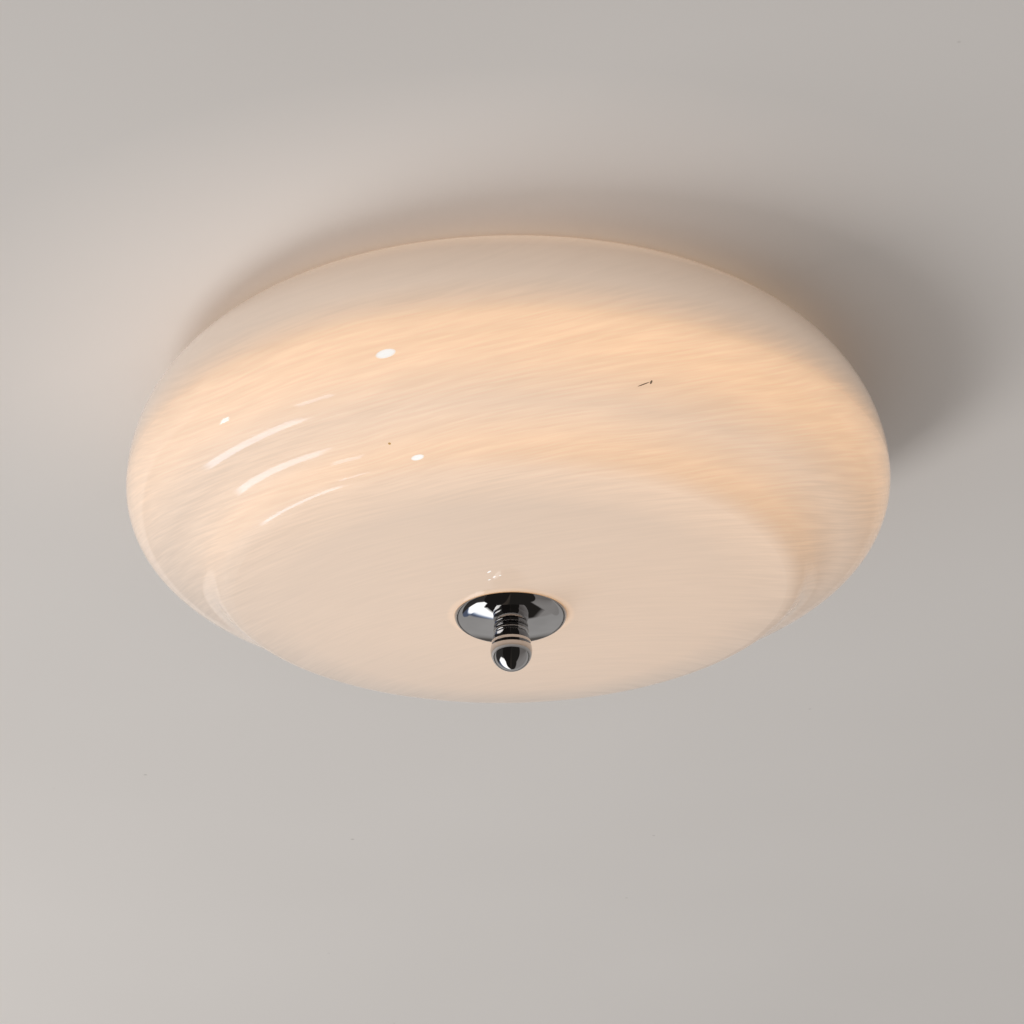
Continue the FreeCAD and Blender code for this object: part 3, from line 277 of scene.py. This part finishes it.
def opal_glass():
    """Mouth-blown opal glass: short pale strokes drawn round it, lit from inside."""
    glass = Finish(
        "opal_glass", Roughness=0.4, Specular_IOR_Level=0.1, Coat_Weight=0.9, Coat_Roughness=0.015
    )
    x, y, z = glass.parts(glass.place)
    squares = glass.sum("ADD", glass.sum("MULTIPLY", x, x), glass.sum("MULTIPLY", y, y))
    across = glass.sum("SQRT", squares)
    off_disc = glass.spread(across, DISC_EDGE, TIER_EDGE)
    tone = stroke_tone(glass, x, y, z, off_disc)
    paint = glass.ramp(glass.spread(tone, -0.2, 0.2), OPAL)
    glow = lamplight(glass, x, y, z, across, off_disc, tone)
    # Seeds and flecks in the glass, and the painted glints by the cap, each mixed into colour and
    # glow.
    for place, colour in GLASS_FLAWS_AND_GLINTS:
        flaw_or_glint = glass.flaw_or_glint(*place)
        paint = glass.blend(flaw_or_glint, paint, colour)
        glow = glass.blend(flaw_or_glint, glow, [FLAW_AND_GLINT_GLOW * level for level in colour])
    glass.drive("Base Color", paint)
    glass.drive("Emission Color", glow)
    glass.surface.inputs["Emission Strength"].default_value = GLOW_STRENGTH
    glass.bump(tone, 0.25, 0.0003)
    return glass.material


def stroke_tone(glass, x, y, z, off_disc):
    """Strokes a few centimetres long, about 0, fainter on the flat disc and above the lamps."""
    from_centre = glass.sum("SUBTRACT", y, STROKE_CENTRE)
    squares = glass.sum("ADD", glass.sum("MULTIPLY", x, x), glass.sum("POWER", from_centre, 2))
    ring = glass.sum("SQRT", squares)
    outline = glass.sum("SUBTRACT", glass.sum("MULTIPLY", z, STROKE_CLIMB), ring)
    outline = glass.sum("MULTIPLY_ADD", x, STROKE_SLANT, outline)
    outline = glass.sum("MULTIPLY_ADD", glass.noise(10, 1), STROKE_WANDER, outline)
    strokes = glass.noise(1, 2, 0.5, streaked(glass, x, y, outline, *STROKE_CELLS), 0.2)
    bands = glass.noise(1, 1, 0.5, streaked(glass, x, y, outline, *BAND_CELLS), 0.3)
    strokes = glass.sum("MULTIPLY", strokes, STROKE_SHARE)
    tone = glass.sum("ADD", strokes, glass.sum("MULTIPLY", bands, BAND_SHARE))
    tone = glass.sum("SUBTRACT", tone, 0.5)
    tone = glass.sum("MULTIPLY", tone, glass.spread(off_disc, 0, 1, STROKE_ON_DISC, 1.0))
    return glass.sum("MULTIPLY", tone, glass.spread(z, *LAMPS_FADE, 1.0, STROKE_ABOVE_LAMPS))


def lamplight(glass, x, y, z, across, off_disc, tone):
    """Lamplight through the glass, strongest in front of the lamps and in a line round the cap."""
    depth = glass.sum("MULTIPLY", z, -1)
    stops = [(mm * MM / GLASS_DEPTH, grey(level)) for mm, level in GLOW_BY_DEPTH]
    lit = glass.ramp(glass.spread(depth, 0, GLASS_DEPTH), stops)
    to_front = glass.sum("MULTIPLY", y, -1)
    to_front = glass.sum("DIVIDE", to_front, glass.sum("MAXIMUM", across, 10 * MM))
    front_gain = glass.spread(depth, *FRONT_GAIN_TURNS, *FRONT_GAIN)
    front_gain = glass.sum("MULTIPLY", off_disc, front_gain)
    to_right = glass.spread(x, 0, SHADE_RADIUS)
    to_right = glass.sum("MULTIPLY", to_right, glass.spread(depth, *RIGHT_GAIN_TURNS))
    for gain in (
        glass.sum("MULTIPLY_ADD", to_front, front_gain, 1.0),
        glass.sum("MULTIPLY_ADD", to_right, RIGHT_GAIN, 1.0),
        glass.spread(tone, -0.12, 0.22, *STROKE_GAIN),
        glass.spread(glass.noise(9, 2, 0.5), 0.3, 0.7, *CLOUD_GAIN),
        glass.spread(across, CAP_EDGE, CAP_EDGE + CAP_GAIN_WIDTH, CAP_GAIN, 1.0),
    ):
        lit = glass.sum("MULTIPLY", lit, gain)
    hue = glass.blend(glass.spread(depth, *HUE_TURNS), UPPER_GLOW, LOWER_GLOW)
    glow = glass.blend(1.0, lit, hue, "MULTIPLY")
    return glass.blend(glass.spread(depth, RIM_DEPTH, 0, 0.0, RIM_SHARE), glow, RIM_GLOW)


def streaked(glass, x, y, outline, along, thin):
    """Noise coordinates with cells long round the glass and thin down its outline."""
    return glass.vector(
        glass.sum("MULTIPLY", x, along),
        glass.sum("MULTIPLY", y, along),
        glass.sum("MULTIPLY", outline, thin),
    )


# ---------------------------------------------------------------- metals
ROD_PITCH = 1.0 * MM
ZINC = ((0.52, 0.54, 0.56), (0.66, 0.67, 0.68))
BRASS = ((0.62, 0.42, 0.17), (0.80, 0.60, 0.28))
ALUMINIUM = ((0.66, 0.66, 0.67), (0.78, 0.78, 0.79))


def dark_chrome():
    """Black chrome, a mirror with a faint cloud of polish."""
    metal = Finish("dark_chrome", Metallic=1.0, Roughness=0.0)
    metal.mottle("Base Color", (0.50, 0.49, 0.49), (0.58, 0.57, 0.57), 60, 2)
    return metal.material


def plated_steel(name, colours, roughness, scale):
    """Plated or bare metal: cloudy, over a fine drawn grain."""
    metal = Finish(name, Metallic=1.0)
    metal.mottle("Base Color", *colours, scale, 4, 0.6)
    grain = metal.noise(2500, 2, 0.7)
    metal.drive("Roughness", metal.spread(grain, 0.2, 0.8, roughness - 0.08, roughness + 0.1))
    metal.bump(grain, 0.15, 0.00005)
    return metal.material


def threaded_steel():
    """Zinc plated steel with a rolled metric thread round the upright rod."""
    metal = Finish("threaded_steel", Metallic=1.0)
    x, y, z = metal.parts(metal.place)
    turns = metal.sum("DIVIDE", metal.sum("ARCTAN2", y, x), 2 * math.pi)
    crest = metal.sum("PINGPONG", metal.sum("MULTIPLY_ADD", z, 1 / ROD_PITCH, turns), 0.5)
    metal.mottle("Base Color", *ZINC, 150, 3)
    metal.drive("Roughness", metal.spread(crest, 0.0, 0.5, 0.42, 0.26))
    metal.bump(crest, 1.0, ROD_PITCH * 0.6)
    return metal.material


# ---------------------------------------------------------------- enamel, ceramic, plastics
def coated(name, colour, shade, roughness, scale, peel, coat=0.0):
    """A coated or moulded surface: soft colour drift, a fine skin and an even gloss."""
    skin = Finish(name)
    skin.mottle("Base Color", shade, colour, scale, 3)
    fine = skin.noise(scale * 14, 2)
    skin.drive("Roughness", skin.spread(fine, 0.2, 0.8, roughness - 0.06, roughness + 0.06))
    skin.surface.inputs["Coat Weight"].default_value = coat
    skin.bump(fine, 0.3, peel)
    return skin.material


def lamp_diffuser():
    """A frosted lamp cover, lit from inside."""
    lamp = Finish("lamp_diffuser", Roughness=0.5, Emission_Strength=2.2)
    lamp.mottle("Base Color", (0.80, 0.76, 0.70), (0.86, 0.83, 0.78), 120, 2)
    lamp.mottle("Emission Color", (1.0, 0.72, 0.45), (1.0, 0.80, 0.55), 40, 2)
    return lamp.material


def clear_silicone():
    """Milky silicone rubber."""
    rubber = Finish("clear_silicone", Roughness=0.35, IOR=1.41, Transmission_Weight=0.5)
    rubber.mottle("Base Color", (0.76, 0.75, 0.72), (0.86, 0.85, 0.82), 200, 2)
    return rubber.material


def sleeving():
    """White woven heat-proof sleeving."""
    cloth = Finish("lead_sleeving", Roughness=0.75)
    cells = cloth.add("ShaderNodeTexVoronoi", {"Vector": cloth.place, "Scale": 1800.0})
    weave = cells.outputs["Distance"]
    threads = ((0.1, (0.80, 0.78, 0.72)), (0.8, (0.52, 0.50, 0.45)))
    cloth.drive("Base Color", cloth.ramp(weave, threads))
    cloth.bump(weave, 0.6, 0.0002)
    return cloth.material


def green_yellow():
    """Earth insulation: yellow with a green stripe."""
    skin = Finish("green_yellow", Roughness=0.4)
    wave = skin.add("ShaderNodeTexWave", {"Vector": skin.place, "Scale": 55.0, "Distortion": 0.6})
    stripes = ((0.48, (0.05, 0.30, 0.06)), (0.52, (0.75, 0.62, 0.04)))
    skin.drive("Base Color", skin.ramp(wave.outputs["Fac"], stripes))
    skin.bump(skin.noise(900, 2), 0.2, 0.00005)
    return skin.material


# ---------------------------------------------------------------- dressing
def dress():
    """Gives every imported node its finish."""
    zinc = plated_steel("zinc_steel", ZINC, 0.30, 120)
    brass = plated_steel("brass_part", BRASS, 0.26, 90)
    aluminium = plated_steel("aluminium_cap", ALUMINIUM, 0.32, 150)
    enamel = coated("white_enamel", (0.82, 0.81, 0.79), (0.78, 0.77, 0.75), 0.35, 25, 0.0003)
    porcelain = coated(
        "white_porcelain", (0.84, 0.83, 0.80), (0.78, 0.77, 0.74), 0.22, 60, 0.0001, 0.5
    )
    housing = coated("white_housing", (0.80, 0.80, 0.78), (0.74, 0.74, 0.72), 0.42, 80, 0.0001)
    nylon = coated("natural_nylon", (0.78, 0.75, 0.66), (0.70, 0.67, 0.58), 0.45, 120, 0.0001)
    rubber = coated(
        "black_rubber", (0.030, 0.030, 0.032), (0.018, 0.018, 0.020), 0.70, 200, 0.0002
    )
    chrome = dark_chrome()
    silicone = clear_silicone()
    finishes = {
        "shade": opal_glass(),
        "ceiling_pan": enamel,
        "glass_bush": silicone,
        "suspension_rod": threaded_steel(),
        "finial_cap": chrome,
        "finial": chrome,
        "cap_gasket": silicone,
        "lampholder": porcelain,
        "screw_shell": brass,
        "centre_contact": brass,
        "bulb_contact": brass,
        "bulb_cap": aluminium,
        "bulb_housing": housing,
        "bulb_diffuser": lamp_diffuser(),
        "terminal_block": nylon,
        "terminal_inserts": brass,
        "feed_leads": sleeving(),
        "link_leads": sleeving(),
        "earth_lead": green_yellow(),
        "entry_grommet": rubber,
    }
    for name, piece in nodes.items():
        kind = name.rstrip("0123456789").rstrip("_")
        finish = finishes.get(kind, zinc)
        for slot in piece.material_slots:
            slot.material = finish


# ---------------------------------------------------------------- ceiling
CEILING_HALF = 8.0
CEILING_HEIGHT = 0.3 * MM
CEILING_HOLE = 150 * MM
HOLE_SIDES = 96
CEILING_PALE = ((0.3, (0.645, 0.61, 0.58)), (0.7, (0.665, 0.63, 0.60)))
SPECK_BROWN = (0.25, 0.22, 0.20)
SPECKS_TO_METRE = 14.0
SPECK_EDGE = (0.022, 0.010)
SPECK_DEPTH = 0.35

# Painted lamplight on the ceiling, as if leaking over the rim, on the side where the ceiling is
# brightest.
SPILL_HUE = (1.0, 0.78, 0.66)
SPILL_LEVEL = 0.10
SPILL_REACH = 120 * MM
SPILL_SIDE = Vector((-0.55, -0.83, 0))
SPILL_TURNS = (20 * MM, 150 * MM)


def ceiling_paint():
    """Matt ceiling paint, seen only from below, with a painted pool of lamplight round the rim."""
    paint = Finish("ceiling_paint", Roughness=0.85, Specular_IOR_Level=0.2, Emission_Strength=1.0)
    specks = paint.add("ShaderNodeTexVoronoi", {"Vector": paint.place, "Scale": SPECKS_TO_METRE})
    speck = paint.spread(specks.outputs["Distance"], *SPECK_EDGE, 0.0, SPECK_DEPTH)
    colour = paint.blend(speck, paint.ramp(paint.noise(3, 2), CEILING_PALE), SPECK_BROWN)
    paint.drive("Base Color", colour)
    paint.bump(paint.noise(420, 3, 0.6), 0.16, 0.0003)
    from_rim = paint.sum("SUBTRACT", paint.length(paint.place), SHADE_RADIUS)
    side = paint.spread(paint.dot(paint.place, SPILL_SIDE), *SPILL_TURNS)
    spill = paint.sum("MULTIPLY", paint.spread(from_rim, 0, SPILL_REACH, SPILL_LEVEL, 0.0), side)
    paint.drive("Emission Color", paint.blend(1.0, spill, SPILL_HUE, "MULTIPLY"))
    clear = paint.add("ShaderNodeBsdfTransparent").outputs[0]
    behind = paint.add("ShaderNodeNewGeometry").outputs["Backfacing"]
    both = paint.add("ShaderNodeMixShader", {0: behind, 1: paint.surface.outputs[0], 2: clear})
    paint.feed(paint.tree.nodes["Material Output"].inputs["Surface"], both.outputs[0])
    return paint.material


def corners(count):
    """Angles evenly round a circle."""
    return [2 * math.pi * i / count for i in range(count)]


def make_ceiling():
    """A pale ceiling, open above the pan."""
    inner = [(CEILING_HOLE * math.cos(a), CEILING_HOLE * math.sin(a)) for a in corners(HOLE_SIDES)]
    reach = CEILING_HALF * math.sqrt(2)
    outer = [(reach * math.cos(a), reach * math.sin(a)) for a in corners(HOLE_SIDES)]
    points = [(x, y, CEILING_HEIGHT) for x, y in inner + outer]
    faces = []
    for i in range(HOLE_SIDES):
        j = (i + 1) % HOLE_SIDES
        faces.append((i, j, HOLE_SIDES + j, HOLE_SIDES + i))
    mesh = bpy.data.meshes.new("ceiling")
    mesh.from_pydata(points, [], faces)
    mesh.materials.append(ceiling_paint())
    ceiling = bpy.data.objects.new("ceiling", mesh)
    bpy.context.scene.collection.objects.link(ceiling)


# ---------------------------------------------------------------- light
WINDOW = Vector((-0.59, 0.35, -0.72)).normalized()
WINDOW_ALONG = Vector((0.21, -0.80, -0.56)).cross(WINDOW).cross(WINDOW).normalized()
WINDOW_ACROSS = WINDOW.cross(WINDOW_ALONG)
WINDOW_DISTANCE = 2.5
WINDOW_LENGTH = 2.3
WINDOW_WIDTH = 0.8
WINDOW_POWER = 30.0
WINDOW_COLOUR = (1.0, 0.985, 0.97)


def make_window():
    """The one large soft light, low on the left and beyond the object."""
    data = bpy.data.lights.new("window", "AREA")
    data.shape = "RECTANGLE"
    data.size = WINDOW_LENGTH
    data.size_y = WINDOW_WIDTH
    data.energy = WINDOW_POWER
    data.color = WINDOW_COLOUR
    lamp = bpy.data.objects.new("window", data)
    turn = Matrix((WINDOW_ALONG, WINDOW_ACROSS, WINDOW_ALONG.cross(WINDOW_ACROSS))).transposed()
    lamp.matrix_world = Matrix.Translation(LOOK_AT + WINDOW_DISTANCE * WINDOW) @ turn.to_4x4()
    lamp.visible_glossy = False
    bpy.context.scene.collection.objects.link(lamp)


# The air: what the camera sees past the ceiling, and what lights the object from all sides.
BACKDROP = (0.78, 0.76, 0.74)
PALE_SIDE = Vector((-0.75, -0.35, -0.56)).normalized()
PALE_TURNS = (-0.4, 1.0)
DIM_AIR = 0.195
PALE_AIR = 0.70


def make_world():
    """Pale air, brighter on the left, and a dim room in every mirror."""
    world = bpy.data.worlds.new("room")
    world.use_nodes = True
    bpy.context.scene.world = world
    room = Nodes(world.node_tree, "Generated")
    path = room.add("ShaderNodeLightPath")
    to_pale = room.spread(room.dot(room.place, PALE_SIDE), *PALE_TURNS)
    air = room.blend(to_pale, grey(DIM_AIR), grey(PALE_AIR))
    gloss = room.blend(path.outputs["Is Singular Ray"], gloss_on_glass(room), mirrored_room(room))
    seen = room.blend(path.outputs["Is Glossy Ray"], air, gloss)
    seen = room.blend(path.outputs["Is Camera Ray"], seen, BACKDROP)
    room.feed(room.tree.nodes["Background"].inputs["Color"], seen)


# The room below, for the chrome, as slopes from straight down: to the right and ahead. An edge is
# a climb and a start; a pair is where a change begins and ends.
LEFT_EDGE = (0.315, -0.51)
LEFT_CORNER = 0.53
RIGHT_EDGE = (-0.156, 0.425)
LEFT_BLUR = (-0.02, 0.02)
RIGHT_BLUR = (-0.03, 0.03)
WINDOW_SIDE = (-1.55, -1.35)
WINDOW_END = (-0.35, -0.15)
WINDOW_FOOT = (0.8, 1.6)
WINDOW_FOOT_FROM = -1.3
WINDOW_FOOT_BLUR = (-0.25, 0.05)
WALL_TURNS = (-1.0, 0.4)
FAR_END = (1.44, 1.54)
FAR_FADE = (4, 8)

MIDDLE_HALF = 0.3
MIDDLE_TONES = (
    (0.34, (0.018, 0.016, 0.015)),
    (0.38, (0.060, 0.050, 0.042)),
    (0.44, (0.060, 0.050, 0.042)),
    (0.48, (0.024, 0.022, 0.020)),
)
WINDOW_TONES = (
    (0.0, (2.1, 2.08, 2.05)),
    (0.5, (1.7, 1.74, 1.80)),
    (0.75, (0.45, 0.55, 0.75)),
    (1.0, (0.13, 0.16, 0.24)),
)
BEYOND_WINDOW = (0.05, 0.047, 0.045)
WALL_NEAR = (0.22, 0.205, 0.195)
WALL_AHEAD = (0.35, 0.335, 0.325)
FAR_WALL = (0.44, 0.43, 0.42)
FAR_DARK = (0.12, 0.11, 0.10)


def mirrored_room(room):
    """The room below: a dark middle, a window on its left, paler walls on the right and far off."""
    x, y, z = room.parts(room.place)
    down = room.sum("MAXIMUM", room.sum("MULTIPLY", z, -1), 0.02)
    right = room.sum("DIVIDE", x, down)
    ahead = room.sum("DIVIDE", y, down)
    left_edge = room.sum("MULTIPLY_ADD", ahead, *LEFT_EDGE)
    left_edge = room.sum("MINIMUM", left_edge, room.sum("SUBTRACT", ahead, LEFT_CORNER))
    past_left = room.spread(room.sum("SUBTRACT", left_edge, right), *LEFT_BLUR)
    right_edge = room.sum("MULTIPLY_ADD", ahead, *RIGHT_EDGE)
    right_edge = room.sum("MAXIMUM", right_edge, room.sum("SUBTRACT", RIGHT_EDGE[1], ahead))
    past_right = room.spread(room.sum("SUBTRACT", right, right_edge), *RIGHT_BLUR)
    in_window = room.sum(
        "MULTIPLY", room.spread(right, *WINDOW_SIDE), room.spread(ahead, *WINDOW_END)
    )
    foot = room.sum("MULTIPLY_ADD", room.sum("MAXIMUM", right, WINDOW_FOOT_FROM), *WINDOW_FOOT)
    past_foot = room.spread(room.sum("SUBTRACT", ahead, foot), *WINDOW_FOOT_BLUR)
    middle = room.ramp(room.spread(right, -MIDDLE_HALF, MIDDLE_HALF), MIDDLE_TONES)
    wall = room.blend(room.spread(ahead, *WALL_TURNS), WALL_NEAR, WALL_AHEAD)
    left = room.blend(in_window, BEYOND_WINDOW, room.ramp(past_foot, WINDOW_TONES))
    far = room.blend(room.spread(ahead, *FAR_FADE), FAR_WALL, FAR_DARK)
    view = room.blend(past_right, middle, wall)
    view = room.blend(past_left, view, left)
    return room.blend(room.spread(ahead, *FAR_END), view, far)


# The shine on the glass: a dim room, then strips of window light as slopes from the window's
# middle: place along and across, half sizes, radiance.
DIM_SHINE = 0.05
PALE_SHINE = 0.30
SHINE_TURNS = (-0.2, 1.0)
DAYLIGHT = (0.62, 0.80, 1.0)
LIGHTS_IN_GLASS = (
    (-0.01, 0.00, 0.23, 0.060, 4.6),
    (-0.48, -0.32, 0.11, 0.045, 3.4),
    (0.04, -0.64, 0.035, 0.050, 10.0),
)
STRIP_EDGE = (1.1, 0.85)


def gloss_on_glass(room):
    """What the glass shines with: a dim even room and narrow strips of window light."""
    y = room.parts(room.place)[1]
    view = room.blend(room.spread(y, *SHINE_TURNS), grey(DIM_SHINE), grey(PALE_SHINE))
    for along, across, half_length, half_width, level in LIGHTS_IN_GLASS:
        lit = room.sum(
            "MULTIPLY",
            strip_side(room, WINDOW_ALONG, along, half_length),
            strip_side(room, WINDOW_ACROSS, across, half_width),
        )
        lit = room.sum("MULTIPLY", lit, room.spread(room.dot(room.place, WINDOW), 0.1, 0.2))
        view = room.blend(lit, view, [level * part for part in DAYLIGHT])
    return view


def strip_side(room, side, middle, half):
    """1 within a strip's half width to each side of its middle, and 0 outside."""
    forward = room.sum("MAXIMUM", room.dot(room.place, WINDOW), 0.05)
    slope = room.sum("DIVIDE", room.dot(room.place, side), forward)
    away = room.sum("ABSOLUTE", room.sum("SUBTRACT", slope, middle))
    return room.spread(away, *[share * half for share in STRIP_EDGE])


# ---------------------------------------------------------------- the scene
bpy.context.scene.view_settings.view_transform = "Standard"
make_camera()
make_ceiling()
make_window()
make_world()
dress()
